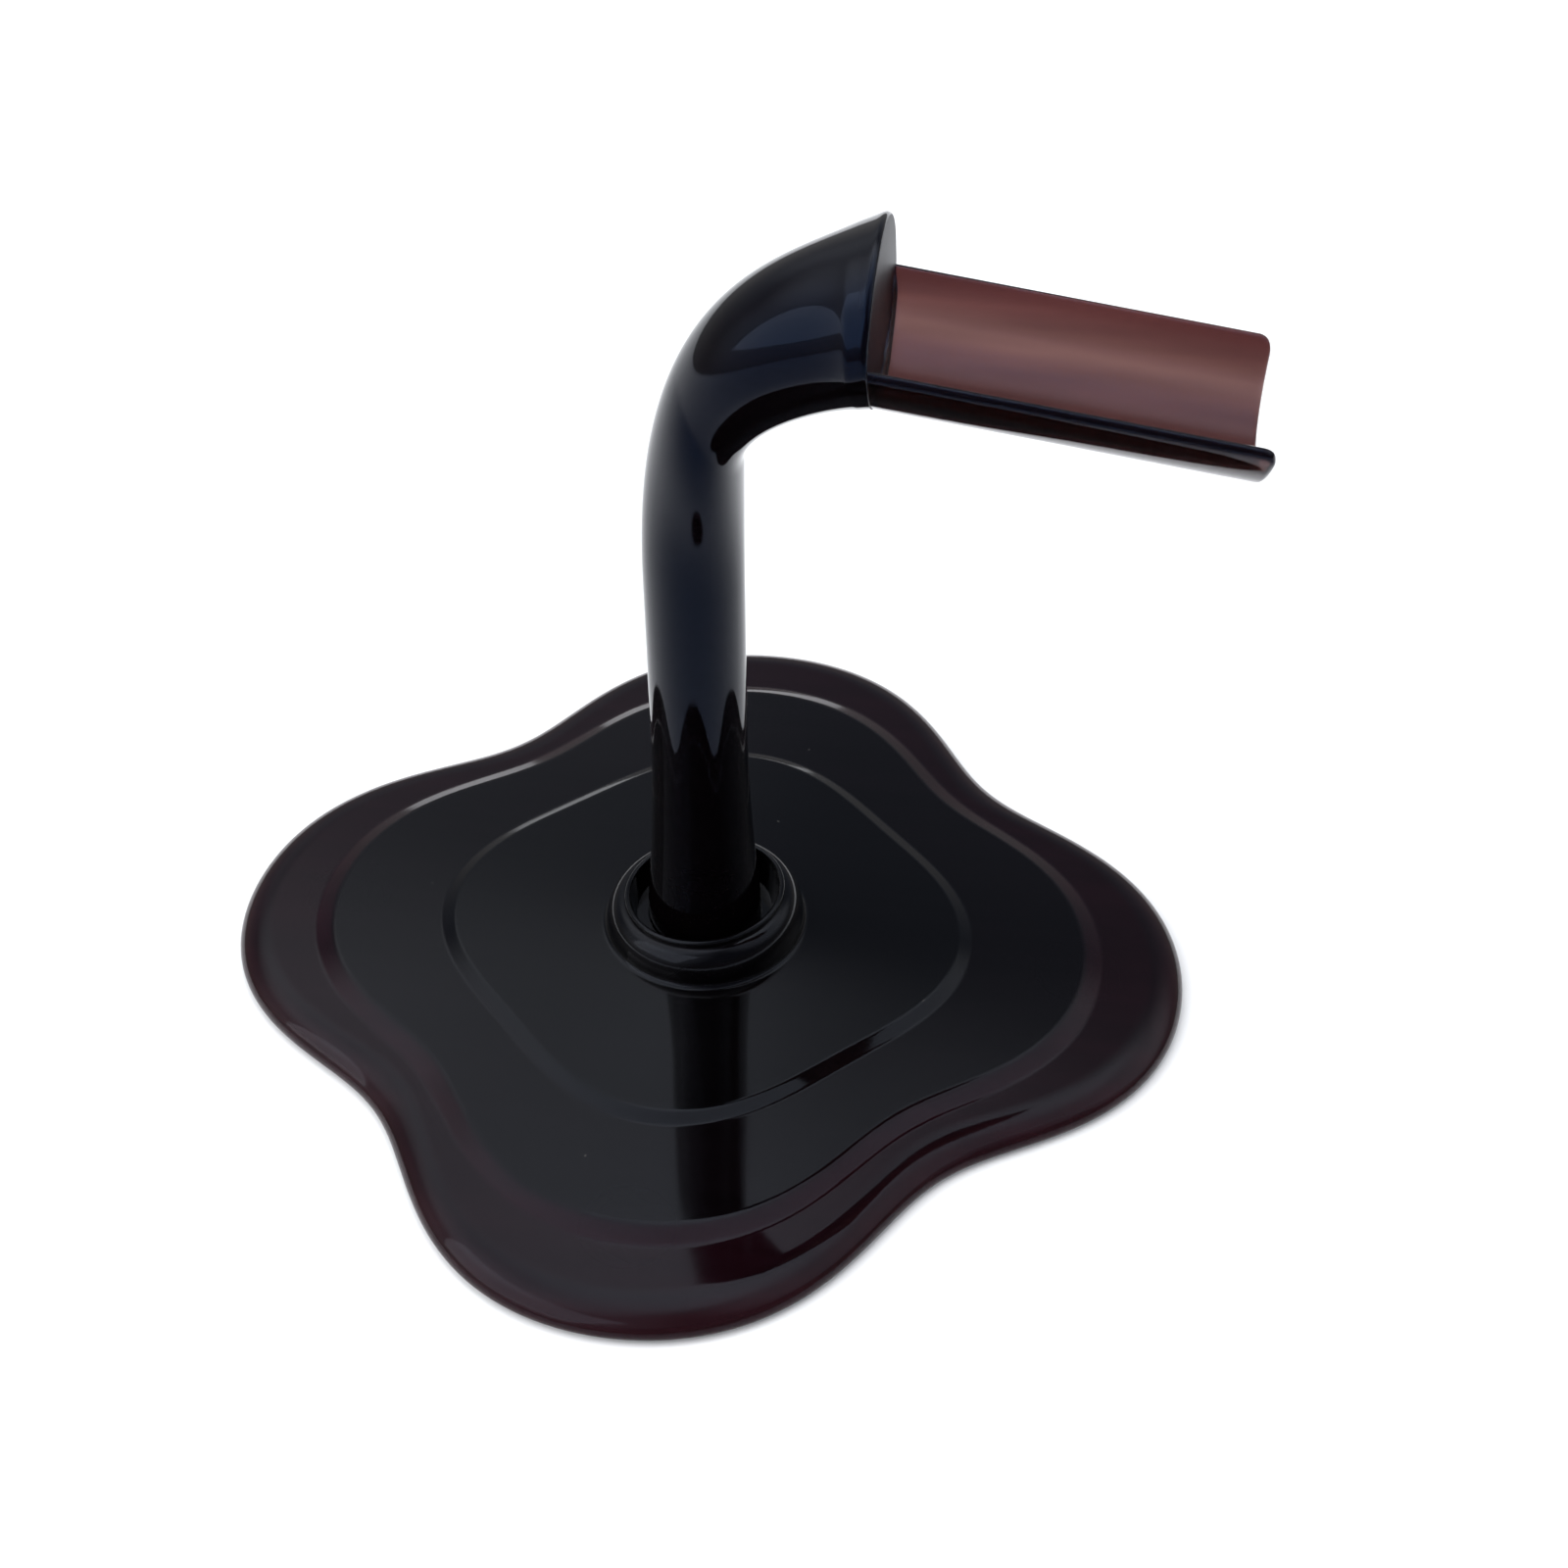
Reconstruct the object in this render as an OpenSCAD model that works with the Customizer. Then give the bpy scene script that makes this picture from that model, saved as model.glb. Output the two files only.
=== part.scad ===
// Razor stand: a four-lobed terraced base carries a bent post that widens into a
// horn and ends in a half-pipe cradle for a razor's handle.
// The origin is the centre of the base, on the surface that the feet stand on.
// +Z is up, and the cradle points along +X over one lobe of the base.

/* [Base] */
// Radius of the base at the tip of a lobe
base_tip_r = 50; // [46:0.5:56]
// Radius of the base at the waist between two lobes
base_waist_r = 39.5; // [39:0.5:42]
// Height of the outer terrace
terrace_1_z = 3; // [2.8:0.1:3.4]
// Height of the middle terrace
terrace_2_z = 3.8; // [3.6:0.1:4.1]
// Height of the inner terrace
terrace_3_z = 4.4; // [4.2:0.1:4.8]
// Wall left above the hollows in the underside
base_wall = 2.2; // [1.8:0.1:2.4]

/* [Collar] */
// Radius of the collar's rim around the post
collar_r = 7.75; // [7.25:0.1:8.55]
// Mean height of the collar's rim
collar_z = 8.6; // [7.6:0.1:9.6]
// How much the rim rises towards the cradle and falls behind the post
collar_slant = 0.6; // [0:0.1:0.9]
// Radius at which the collar's bulging flank meets the inner terrace
collar_foot_r = 10.9; // [10.4:0.1:12]

/* [Arm] */
// Diameter of the post
post_d = 9.4; // [8.4:0.1:10]
// Diameter of the post where its foot stands in the collar
foot_d = 11.7; // [11:0.1:12.4]
// Distance of the horn's flat upright face from the post's axis
horn_x = 16.5; // [14:0.1:18]
// Height of the middle of the horn's flat face
horn_z = 75.6; // [70:0.1:82]
// Height of the horn's face from its underside to its tip
horn_h = 15.2; // [15:0.1:18]
// How far the cradle slopes down from level, in degrees
cradle_slope = 7.3; // [0:0.1:9]

/* [Cradle] */
// Outer radius of the half-pipe
cradle_r = 11; // [10.4:0.1:11.6]
// Wall of the half-pipe
cradle_wall = 1; // [0.9:0.1:1.5]
// Length of the half-pipe, from the horn's face
cradle_l = 31.8; // [24:0.2:34]
// How far the rims lie below the half-pipe's axis
rim_drop = 4.6; // [3:0.1:6]

/* [Fixings] */
// Thread diameter of the fixing screw
screw_d = 3; // [3:0.5:4]
// Length of the screw under its head
screw_l = 10; // [8:1:12]
// Diameter of each rubber foot
rubber_d = 9; // [8:0.5:10]
// Distance of each rubber foot from the centre
rubber_at = 39; // [36:0.5:41]
// How far the rubber feet stand proud of the base
rubber_proud = 0.5; // [0.4:0.1:0.8]

/* [Hidden] */

$fn = 48;
RUBY = [0.16, 0.035, 0.045];
STEEL = [0.72, 0.72, 0.74];
BRASS = [0.78, 0.62, 0.3];
RUBBER = [0.08, 0.08, 0.085];

// How far a cut runs past a face, and the small overlap or clearance of touching faces.
cut = 1;
eps = 0.01;

// Four-lobed outline: mean radius, depth of the lobes, and a flattening of their tips.
ring_sides = 64;
base_flat = -0.6;
base_lobe = (base_tip_r - base_waist_r) / 2;
base_mean = base_tip_r - base_lobe - base_flat;
middle = [36.05, 3.55, -0.35];
inner = [24.85, 1.6, 0];
middle_run = 2.6;
inner_run = 1.8;
shoulder_run = 4;
rim_edge_r = 0.4;

function lobed(a, shape) = shape[0] + shape[1] * cos(4 * a) + shape[2] * cos(8 * a);
function grown(shape, by) = [shape[0] + by, shape[1], shape[2]];
function outer(by) = [base_mean + by, base_lobe, base_flat];

// One ring of the base's skin: an outline at a height, with a slant along X.
function skin_ring(shape, z, slant) =
    [for (i = [0:ring_sides - 1])
        let (a = 360 * i / ring_sides, r = lobed(a, shape))
        [r * cos(a), r * sin(a), z + slant * cos(a)]];

// A step from its foot to its top edge: a gentle slope between two rounded corners.
corner = 0.2;
step_stops = [0, corner / 2, corner, 1 - corner, 1 - corner / 2, 1];
function slope_rise(t) =
    t < corner ? t * t / (2 * corner * (1 - corner)) :
    t > 1 - corner ? 1 - (1 - t) * (1 - t) / (2 * corner * (1 - corner)) :
    (t - corner / 2) / (1 - corner);
function step_rings(shape, run, z_low, z_high) =
    [for (t = step_stops)
        skin_ring(grown(shape, run * (1 - t)),
                  z_low + (z_high - z_low) * slope_rise(t), 0)];

// The rounded edge of the base, from its lower edge to the outer terrace.
edge_cuts = 8;
function edge_rings() =
    [for (i = [0:edge_cuts])
        let (t = 90 * i / edge_cuts, low = rubber_proud + rim_edge_r)
        skin_ring(outer(-shoulder_run * (1 - cos(t))),
                  low + (terrace_1_z - low) * sin(t), 0)];

// The collar: a fillet at its foot, a bulging flank, a thin rounded rim and an inner wall.
collar_cuts = 6;
fillet_cuts = 3;
collar_fillet = 0.6;
rim_round = 0.3;
rim_cuts = 3;
well_r = 7.1;
well_z = 5.4;
crest_r = collar_r + 2 * rim_round;
crest_z = collar_z - 2 * rim_round;
bulge_r = collar_foot_r - collar_fillet;
bulge_z = terrace_3_z + collar_fillet;
function collar_ring(r, z) =
    skin_ring([r, 0, 0], z, collar_slant * min(1, (z - terrace_3_z) / (crest_z - terrace_3_z)));
function collar_rings() = concat(
    [for (i = [0:fillet_cuts])
        let (t = 90 * i / fillet_cuts)
        collar_ring(collar_foot_r - collar_fillet * sin(t),
                    terrace_3_z + collar_fillet * (1 - cos(t)))],
    [for (i = [1:collar_cuts])
        let (t = 90 * i / collar_cuts)
        collar_ring(crest_r + (bulge_r - crest_r) * cos(t),
                    bulge_z + (crest_z - bulge_z) * sin(t))],
    [for (i = [0:rim_cuts])
        let (t = 180 * i / rim_cuts)
        collar_ring(collar_r + rim_round * (1 + cos(t)),
                    collar_z - rim_round * (1 - sin(t)))],
    [skin_ring([well_r, 0, 0], well_z, 0)]);

// A solid from stacked rings of equal length, closed by a flat face at each end.
module skinned(rings) {
    n = len(rings[0]);
    last = len(rings) - 1;
    sides = [for (k = [0:last - 1], i = [0:n - 1])
        [k * n + i, (k + 1) * n + i, (k + 1) * n + (i + 1) % n, k * n + (i + 1) % n]];
    triangles = [for (s = sides) each [[s[0], s[1], s[2]], [s[0], s[2], s[3]]]];
    first_face = [for (i = [0:n - 1]) i];
    last_face = [for (i = [0:n - 1]) last * n + n - 1 - i];
    polyhedron(points = [for (r = rings) each r],
               faces = concat([first_face], triangles, [last_face]));
}

// Outline of a hollow in the underside, as a flat shape.
module outline(shape) {
    polygon([for (i = [0:ring_sides - 1])
        let (a = 360 * i / ring_sides)
        lobed(a, shape) * [cos(a), sin(a)]]);
}

// Fixing: seat of the arm's foot, locating pip and the screw's well in the underside.
seat_z = 4.6;
seat_clear = 0.1;
boss_r = 9;
boss_gap = 0.6;
boss_z = 0.9;
rib_w = 1.8;
screw_clear = 0.2;
screw_well_r = 4.2;
screw_well_z = 2.85;
pip_r = 0.8;
pip_x = -4.2;
pip_z = 3.6;
pip_clear = 0.05;
rubber_seat = 1;
rubber_clear = 0.05;
rubber_wall = 1.4;
hollow_gap = 2.4;

module at_each_lobe() {
    for (a = [0:90:270])
        rotate(a) translate([rubber_at, 0, 0]) children();
}

module underside_hollow(shape, ceiling_z) {
    difference() {
        translate([0, 0, rubber_proud - eps])
            linear_extrude(ceiling_z - rubber_proud + eps) outline(shape);
        cylinder(r = boss_r, h = ceiling_z + cut);
        at_each_lobe() cylinder(r = rubber_d / 2 + rubber_wall, h = ceiling_z + cut);
        for (a = [45, 135])
            rotate(a) translate([-base_tip_r, -rib_w / 2, 0])
                cube([2 * base_tip_r, rib_w, ceiling_z + cut]);
    }
}

module base_shell() {
    color(RUBY)
    difference() {
        skinned(concat([skin_ring(outer(-rim_edge_r), rubber_proud, 0)],
                       edge_rings(),
                       step_rings(middle, middle_run, terrace_1_z, terrace_2_z),
                       step_rings(inner, inner_run, terrace_2_z, terrace_3_z),
                       collar_rings()));
        underside_hollow(grown(middle, -hollow_gap), terrace_2_z - base_wall);
        underside_hollow(grown(inner, -hollow_gap), terrace_3_z - base_wall);
        translate([0, 0, seat_z])
            cylinder(d = foot_d + 2 * seat_clear, h = well_z - seat_z + cut);
        cylinder(d = screw_d + 2 * screw_clear, h = well_z + cut);
        translate([0, 0, -cut]) cylinder(r = screw_well_r, h = screw_well_z + cut);
        translate([0, 0, -cut]) cylinder(r = boss_r + boss_gap, h = boss_z + cut);
        translate([pip_x, 0, pip_z - pip_clear])
            cylinder(r = pip_r + pip_clear, h = seat_z - pip_z + cut);
        at_each_lobe() translate([0, 0, -cut])
            cylinder(d = rubber_d + 2 * rubber_clear, h = rubber_proud + rubber_seat + cut);
    }
}

// The arm's sides in its own plane: an outer curve from the back of the post to the
// horn's tip, and a tighter inner curve from the front of the post to its underside.
post_r = post_d / 2;
along = [cos(cradle_slope), -sin(cradle_slope)];
upward = [sin(cradle_slope), cos(cradle_slope)];
tip = [horn_x, horn_z + horn_h / 2];
chin = [horn_x, horn_z - horn_h / 2];
outer_bend_z = 47.6;
outer_reach = 29.8;
tip_reach = 10.3;
tip_rise = 27.5;
inner_bend_z = 59.8;
inner_reach = 5.6;
chin_reach = 0.8;

function bezier(p, t) =
    pow(1 - t, 3) * p[0] + 3 * pow(1 - t, 2) * t * p[1]
    + 3 * (1 - t) * t * t * p[2] + pow(t, 3) * p[3];

back_curve = [[-post_r, outer_bend_z], [-post_r, outer_bend_z + outer_reach],
              tip - tip_reach * [cos(tip_rise), sin(tip_rise)], tip];
front_curve = [[post_r, inner_bend_z], [post_r, inner_bend_z + inner_reach],
               chin - chin_reach * along, chin];

// The back curve starts lower, so the front follows the straight post until its bend.
bend_cuts = 26;
front_lag = 0.36;
function back_at(t) = bezier(back_curve, t);
function front_at(t) =
    t < front_lag
        ? [post_r, outer_bend_z + (inner_bend_z - outer_bend_z) * t / front_lag]
        : bezier(front_curve, (t - front_lag) / (1 - front_lag));

// An oval slice of the arm across two points of its sides. From its front it follows a
// circle of radius arc_r up to where it is widest, at belly of its height; from there
// to its back it is half an ellipse.
slice_sides = 32;
round_belly = 0.5;
function slice(back, front, arc_r, belly) =
    let (h = norm(back - front), rise = (back - front) / h, low = belly * h,
         half_w = sqrt(arc_r * arc_r - (arc_r - low) * (arc_r - low)),
         turn = acos((arc_r - low) / arc_r))
    [for (i = [0:slice_sides - 1])
        let (a = 360 * i / slice_sides, on_ellipse = cos(a) > 0, b = turn * abs(a - 180) / 90,
             up = on_ellipse ? low + (h - low) * cos(a) : arc_r * (1 - cos(b)),
             out = on_ellipse ? half_w * sin(a) : arc_r * sin(b) * sign(180 - a))
        [front[0] + rise[0] * up, -out, front[1] + rise[1] * up]];

// Towards its face the horn's underside becomes as round as the cradle, just outside it.
// It grows with the slice's height, slowly at first, and is full-sized a lip short of the face.
horn_skin = 0.2;
horn_belly = 0.46;
horn_arc_r = cradle_r + horn_skin;
horn_lip = 1;
widening = 2.2;
function growth(h) =
    pow(min(1, max(0, h - post_d) / (horn_h - horn_lip - post_d)), widening);
function bend_slice(t) =
    let (back = back_at(t), front = front_at(t), h = norm(back - front), g = growth(h))
    slice(back, front, post_r + (horn_arc_r - post_r) * g,
          round_belly + (horn_belly - round_belly) * g);

// The post flares towards its foot and sinks into a short straight stub, a hair wider;
// t runs from 0 inside the stub to 1 where the flare has run out.
foot_stub = 3;
stub_inset = 0.05;
stub_overlap = 0.5;
flare_foot_r = foot_d / 2 - stub_inset;
flare_foot_z = seat_z + foot_stub - stub_overlap;
flare_top = 30;
flare_power = 1.8;
flare_cuts = 6;
function flare_slice(t) =
    let (r = post_r + (flare_foot_r - post_r) * pow(1 - t, flare_power),
         z = flare_foot_z + (flare_top - flare_foot_z) * t)
    slice([-r, z], [r, z], r, round_belly);

function arm_rings() = concat(
    [for (i = [0:flare_cuts]) flare_slice(i / flare_cuts)],
    [for (i = [0:bend_cuts]) bend_slice(i / bend_cuts)]);

insert_r = 2.1;
insert_l = 5.7;
insert_z = 5.2;
insert_hole_z = 15;

// The half-pipe in its own frame: X along it, its axis through the origin. Its wall
// runs a little way into the horn, just inside the horn's skin.
rim_mid_r = cradle_r - cradle_wall / 2;
rim_y = sqrt(rim_mid_r * rim_mid_r - rim_drop * rim_drop);
rim_inset = 0.05;
cradle_embed = 1.2;
cradle_inset = 0.12;

module along_cradle(r, h) {
    translate([-cradle_embed, 0, 0]) rotate([0, 90, 0]) cylinder(r = r, h = h);
}

module half_pipe() {
    full_l = cradle_l + cradle_embed;
    difference() {
        along_cradle(cradle_r, full_l);
        translate([-cut, 0, 0]) along_cradle(cradle_r - cradle_wall, full_l + 2 * cut);
        translate([-cradle_embed - cut, -cradle_r - cut, -rim_drop])
            cube([full_l + 2 * cut, 2 * (cradle_r + cut), 2 * cradle_r]);
    }
    for (side = [-1, 1])
        translate([0, side * rim_y, -rim_drop])
            along_cradle(cradle_wall / 2 - rim_inset, full_l);
}

module cradle_place() {
    axis = chin + upward * (cradle_r + cradle_inset);
    translate([axis[0], 0, axis[1]]) rotate([0, cradle_slope, 0]) children();
}

module arm() {
    color(RUBY)
    difference() {
        union() {
            skinned(arm_rings());
            translate([0, 0, seat_z]) cylinder(d = foot_d, h = foot_stub);
            translate([pip_x, 0, pip_z]) cylinder(r = pip_r, h = seat_z - pip_z + eps);
            cradle_place() half_pipe();
        }
        translate([0, 0, seat_z - cut])
            cylinder(r = insert_r, h = insert_hole_z - seat_z + cut);
    }
}

module thread_insert() {
    color(BRASS)
    translate([0, 0, insert_z])
    difference() {
        cylinder(r = insert_r - eps, h = insert_l);
        translate([0, 0, -cut]) cylinder(d = screw_d, h = insert_l + 2 * cut);
    }
}

washer_t = 0.5;
washer_d = 7;
head_h = 1.65;
head_d = 5.7;
hex_across = 2;
hex_depth = 1;

module washer() {
    color(STEEL)
    translate([0, 0, screw_well_z - washer_t])
    difference() {
        cylinder(d = washer_d, h = washer_t);
        translate([0, 0, -cut])
            cylinder(d = screw_d + screw_clear, h = washer_t + 2 * cut);
    }
}

// Button-head screw, head downwards, with a hexagon socket.
module fixing_screw() {
    head_top = screw_well_z - washer_t;
    dome_r = (head_d * head_d / 4 + head_h * head_h) / (2 * head_h);
    color(STEEL)
    difference() {
        union() {
            intersection() {
                translate([0, 0, head_top - head_h]) cylinder(d = head_d, h = head_h);
                translate([0, 0, head_top - head_h + dome_r]) sphere(r = dome_r);
            }
            translate([0, 0, head_top - eps])
                cylinder(d = screw_d - 2 * eps, h = screw_l + eps);
        }
        translate([0, 0, head_top - head_h - eps])
            cylinder(d = hex_across / cos(30), h = hex_depth, $fn = 6);
    }
}

// A rubber foot: a low disc with a softened lower edge.
module rubber_foot(a) {
    bevel = 0.4;
    top = rubber_proud + rubber_seat;
    color(RUBBER)
    rotate(a) translate([rubber_at, 0, 0])
        rotate_extrude()
            polygon([[0, 0], [rubber_d / 2 - bevel, 0], [rubber_d / 2, bevel],
                     [rubber_d / 2, top], [0, top]]);
}

module foot_front() { rubber_foot(0); }
module foot_left() { rubber_foot(90); }
module foot_back() { rubber_foot(180); }
module foot_right() { rubber_foot(270); }

base_shell();
arm();
thread_insert();
fixing_screw();
washer();
foot_front();
foot_back();
foot_left();
foot_right();
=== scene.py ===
"""Looks of the razor stand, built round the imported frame. Shapes are worked out in millimetres."""
import math

import bmesh
import bpy
from mathutils import Matrix, Vector


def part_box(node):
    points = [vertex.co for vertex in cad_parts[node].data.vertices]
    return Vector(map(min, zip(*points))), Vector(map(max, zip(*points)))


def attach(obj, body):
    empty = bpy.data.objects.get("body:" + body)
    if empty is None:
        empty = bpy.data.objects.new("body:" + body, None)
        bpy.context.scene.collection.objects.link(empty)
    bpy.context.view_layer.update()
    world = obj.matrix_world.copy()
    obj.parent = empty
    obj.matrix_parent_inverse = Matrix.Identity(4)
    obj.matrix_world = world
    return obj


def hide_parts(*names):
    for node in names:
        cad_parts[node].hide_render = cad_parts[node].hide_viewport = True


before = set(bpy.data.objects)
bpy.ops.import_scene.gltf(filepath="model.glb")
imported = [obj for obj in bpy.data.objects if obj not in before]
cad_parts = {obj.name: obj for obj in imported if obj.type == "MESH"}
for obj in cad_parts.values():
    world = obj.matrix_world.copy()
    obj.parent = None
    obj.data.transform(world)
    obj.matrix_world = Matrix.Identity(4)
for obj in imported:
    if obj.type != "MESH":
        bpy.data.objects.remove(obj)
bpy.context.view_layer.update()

MM = 0.001
BODY = "root"

# ---------------------------------------------------------------- dimensions, in millimetres

base_low, base_high = (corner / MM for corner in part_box("base_shell"))
foot_low, foot_high = (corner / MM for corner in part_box("foot_front"))

UNDERSIDE_Z = base_low.z
TIP_R = base_high.x
WAIST_R = 39.5
LOBE_FLAT = -0.6
LOBE_DEPTH = (TIP_R - WAIST_R) / 2
OUTER = (TIP_R - LOBE_DEPTH - LOBE_FLAT, LOBE_DEPTH, LOBE_FLAT)
MIDDLE = (36.05, 3.55, -0.35)
INNER = (24.85, 1.6, 0.0)
TERRACE_Z = (3.0, 3.8, 4.4)
MIDDLE_RUN = 2.6
INNER_RUN = 1.8
STEP_CORNER = 0.2
SHOULDER_RUN = 4.0
EDGE_R = 0.4
BASE_WALL = 2.2
HOLLOW_GAP = 2.4
RIB_W = 1.8

COLLAR_R = 7.75
COLLAR_Z = 8.6
COLLAR_SLANT = 0.6
COLLAR_FOOT_R = 10.9
COLLAR_FILLET = 0.6
RIM_ROUND = 0.3
WELL_R = 7.1
WELL_Z = 5.4
SEAT_Z = 4.6
SEAT_R = 5.95
BOSS_R = 9.0
BOSS_Z = 0.9
BOSS_GAP = 0.6
SCREW_HOLE_R = 1.7
SCREW_WELL_R = 4.2
SCREW_WELL_Z = 2.85

POST_R = 4.7
FOOT_R = 5.85
STUB_Z = 7.6
FLARE_TOP = 30.0
FLARE_POWER = 1.8
HORN_X = 16.5
HORN_Z = 75.6
HORN_H = 15.2
HORN_SKIN = 0.08
SLOPE = math.radians(7.3)

CRADLE_R = 11.0
CRADLE_WALL = 1.0
CRADLE_L = 31.8
RIM_DROP = 4.6

FOOT_PAD_R = (foot_high.x - foot_low.x) / 2
FOOT_PAD_AT = (foot_high.x + foot_low.x) / 2
FOOT_PAD_TOP = foot_high.z
FOOT_PAD_CLEAR = 0.05
FOOT_PAD_WALL = 1.4

# How far a cutting tool runs past the surface it cuts, and a length too small to see.
PAST = 1.0
TINY = 1e-4

# ---------------------------------------------------------------- camera

CAMERA_AT = Vector((32.25, -151.95, 154.3)) * MM
CAMERA_LOOKS = Vector((-0.1185, 0.7532, -0.6471))
LENS = 47.04


def make_camera():
    data = bpy.data.cameras.new("camera")
    data.sensor_width = 36
    data.lens = LENS
    data.clip_start = 0.005
    data.clip_end = 20
    camera = bpy.data.objects.new("camera", data)
    camera.location = CAMERA_AT
    camera.rotation_euler = CAMERA_LOOKS.to_track_quat("-Z", "Y").to_euler()
    bpy.context.scene.collection.objects.link(camera)
    bpy.context.scene.camera = camera


# ---------------------------------------------------------------- mesh helpers

def face_outward(bm):
    """Turns every face of a closed mesh outwards."""
    bmesh.ops.recalc_face_normals(bm, faces=bm.faces)
    if bm.calc_volume(signed=True) < 0:
        bmesh.ops.reverse_faces(bm, faces=bm.faces)


def new_piece(name, bm, material, replaces=(), smooth_angle=35):
    """Turns a bmesh in millimetres into a piece that rides on the body."""
    face_outward(bm)
    mesh = bpy.data.meshes.new(name)
    bm.to_mesh(mesh)
    bm.free()
    mesh.transform(Matrix.Scale(MM, 4))
    mesh.shade_smooth()
    mesh.set_sharp_from_angle(angle=math.radians(smooth_angle))
    mesh.materials.append(material)
    piece = bpy.data.objects.new(name, mesh)
    bpy.context.scene.collection.objects.link(piece)
    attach(piece, BODY)
    if replaces:
        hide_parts(*replaces)
    return piece


def bridge(bm, ring_a, ring_b):
    """Quads between two rings of vertices of equal length."""
    count = len(ring_a)
    for i in range(count):
        j = (i + 1) % count
        bm.faces.new((ring_a[i], ring_a[j], ring_b[j], ring_b[i]))


def stack(rings, closed=False, cap_first=False, cap_last=False):
    """A bmesh from rings of points; closed joins the last ring to the first."""
    bm = bmesh.new()
    made = [[bm.verts.new(point) for point in ring] for ring in rings]
    for ring_a, ring_b in zip(made, made[1:]):
        bridge(bm, ring_a, ring_b)
    if closed:
        bridge(bm, made[-1], made[0])
    if cap_first:
        bm.faces.new(list(reversed(made[0])))
    if cap_last:
        bm.faces.new(made[-1])
    return bm


def as_object(name, bm):
    """A working object in millimetres, for cutting with."""
    face_outward(bm)
    mesh = bpy.data.meshes.new(name)
    bm.to_mesh(mesh)
    bm.free()
    thing = bpy.data.objects.new(name, mesh)
    bpy.context.scene.collection.objects.link(thing)
    return thing


def modified(thing, kind, **settings):
    """Applies one modifier to a working object."""
    modifier = thing.modifiers.new(kind, kind)
    for key, value in settings.items():
        setattr(modifier, key, value)
    graph = bpy.context.evaluated_depsgraph_get()
    mesh = bpy.data.meshes.new_from_object(thing.evaluated_get(graph))
    thing.modifiers.clear()
    old = thing.data
    thing.data = mesh
    bpy.data.meshes.remove(old)
    return thing


def cut(thing, tool):
    """Takes the tool's volume off the thing, and removes the tool."""
    modified(thing, "BOOLEAN", operation="DIFFERENCE", object=tool, solver="MANIFOLD")
    bpy.data.objects.remove(tool)
    return thing


def taken_as_bmesh(thing):
    bm = bmesh.new()
    bm.from_mesh(thing.data)
    bpy.data.objects.remove(thing)
    return bm


def cylinder(name, radius, low, high, at=(0, 0), sides=96):
    """A working cylinder along Z."""
    def ring(z):
        angles = [2 * math.pi * i / sides for i in range(sides)]
        return [(at[0] + radius * math.cos(a), at[1] + radius * math.sin(a), z) for a in angles]
    return as_object(name, stack([ring(low), ring(high)], cap_first=True, cap_last=True))


# ---------------------------------------------------------------- the base

SKIN_SIDES = 288


def lobed(angle, shape):
    return shape[0] + shape[1] * math.cos(4 * angle) + shape[2] * math.cos(8 * angle)


def skin_ring(shape, grow, z, slant=0.0, sides=SKIN_SIDES):
    """One outline of the base at a height; slant lifts it towards +X."""
    points = []
    for i in range(sides):
        angle = 2 * math.pi * i / sides
        r = lobed(angle, shape) + grow
        lift = slant * math.cos(angle)
        points.append((r * math.cos(angle), r * math.sin(angle), z + lift))
    return points


def arc(count, start=0.0, stop=90.0):
    """Angles in radians from start to stop, both given in degrees."""
    return [math.radians(start + (stop - start) * i / count) for i in range(count + 1)]


def slope_rise(t):
    """Rise of a gentle slope between two rounded corners, t from its foot to its top."""
    blend = 2 * STEP_CORNER * (1 - STEP_CORNER)
    if t < STEP_CORNER:
        return t * t / blend
    if t > 1 - STEP_CORNER:
        return 1 - (1 - t) ** 2 / blend
    return (t - STEP_CORNER / 2) / (1 - STEP_CORNER)


def step_rings(shape, run, low, high, cuts=20):
    return [skin_ring(shape, run * (1 - i / cuts), low + (high - low) * slope_rise(i / cuts))
            for i in range(cuts + 1)]


def collar_ring(radius, z):
    low, crest = TERRACE_Z[2], COLLAR_Z - 2 * RIM_ROUND
    return skin_ring((radius, 0, 0), 0, z, COLLAR_SLANT * min(1, (z - low) / (crest - low)))


def round_ring(radius, z):
    return skin_ring((radius, 0, 0), 0, z)


def collar_rings():
    """A fillet at the collar's foot, its bulging flank and its thin rounded rim."""
    low, crest_r, crest_z = TERRACE_Z[2], COLLAR_R + 2 * RIM_ROUND, COLLAR_Z - 2 * RIM_ROUND
    bulge_r, bulge_z = COLLAR_FOOT_R - COLLAR_FILLET, low + COLLAR_FILLET
    fillet = [collar_ring(COLLAR_FOOT_R - COLLAR_FILLET * math.sin(t),
                          low + COLLAR_FILLET * (1 - math.cos(t)))
              for t in arc(8)]
    bulge = [collar_ring(crest_r + (bulge_r - crest_r) * math.cos(t),
                         bulge_z + (crest_z - bulge_z) * math.sin(t))
             for t in arc(20)[1:]]
    rim = [collar_ring(COLLAR_R + RIM_ROUND * (1 + math.cos(t)),
                       COLLAR_Z - RIM_ROUND * (1 - math.sin(t)))
           for t in arc(10, 0, 180)]
    return fillet + bulge + rim


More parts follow.
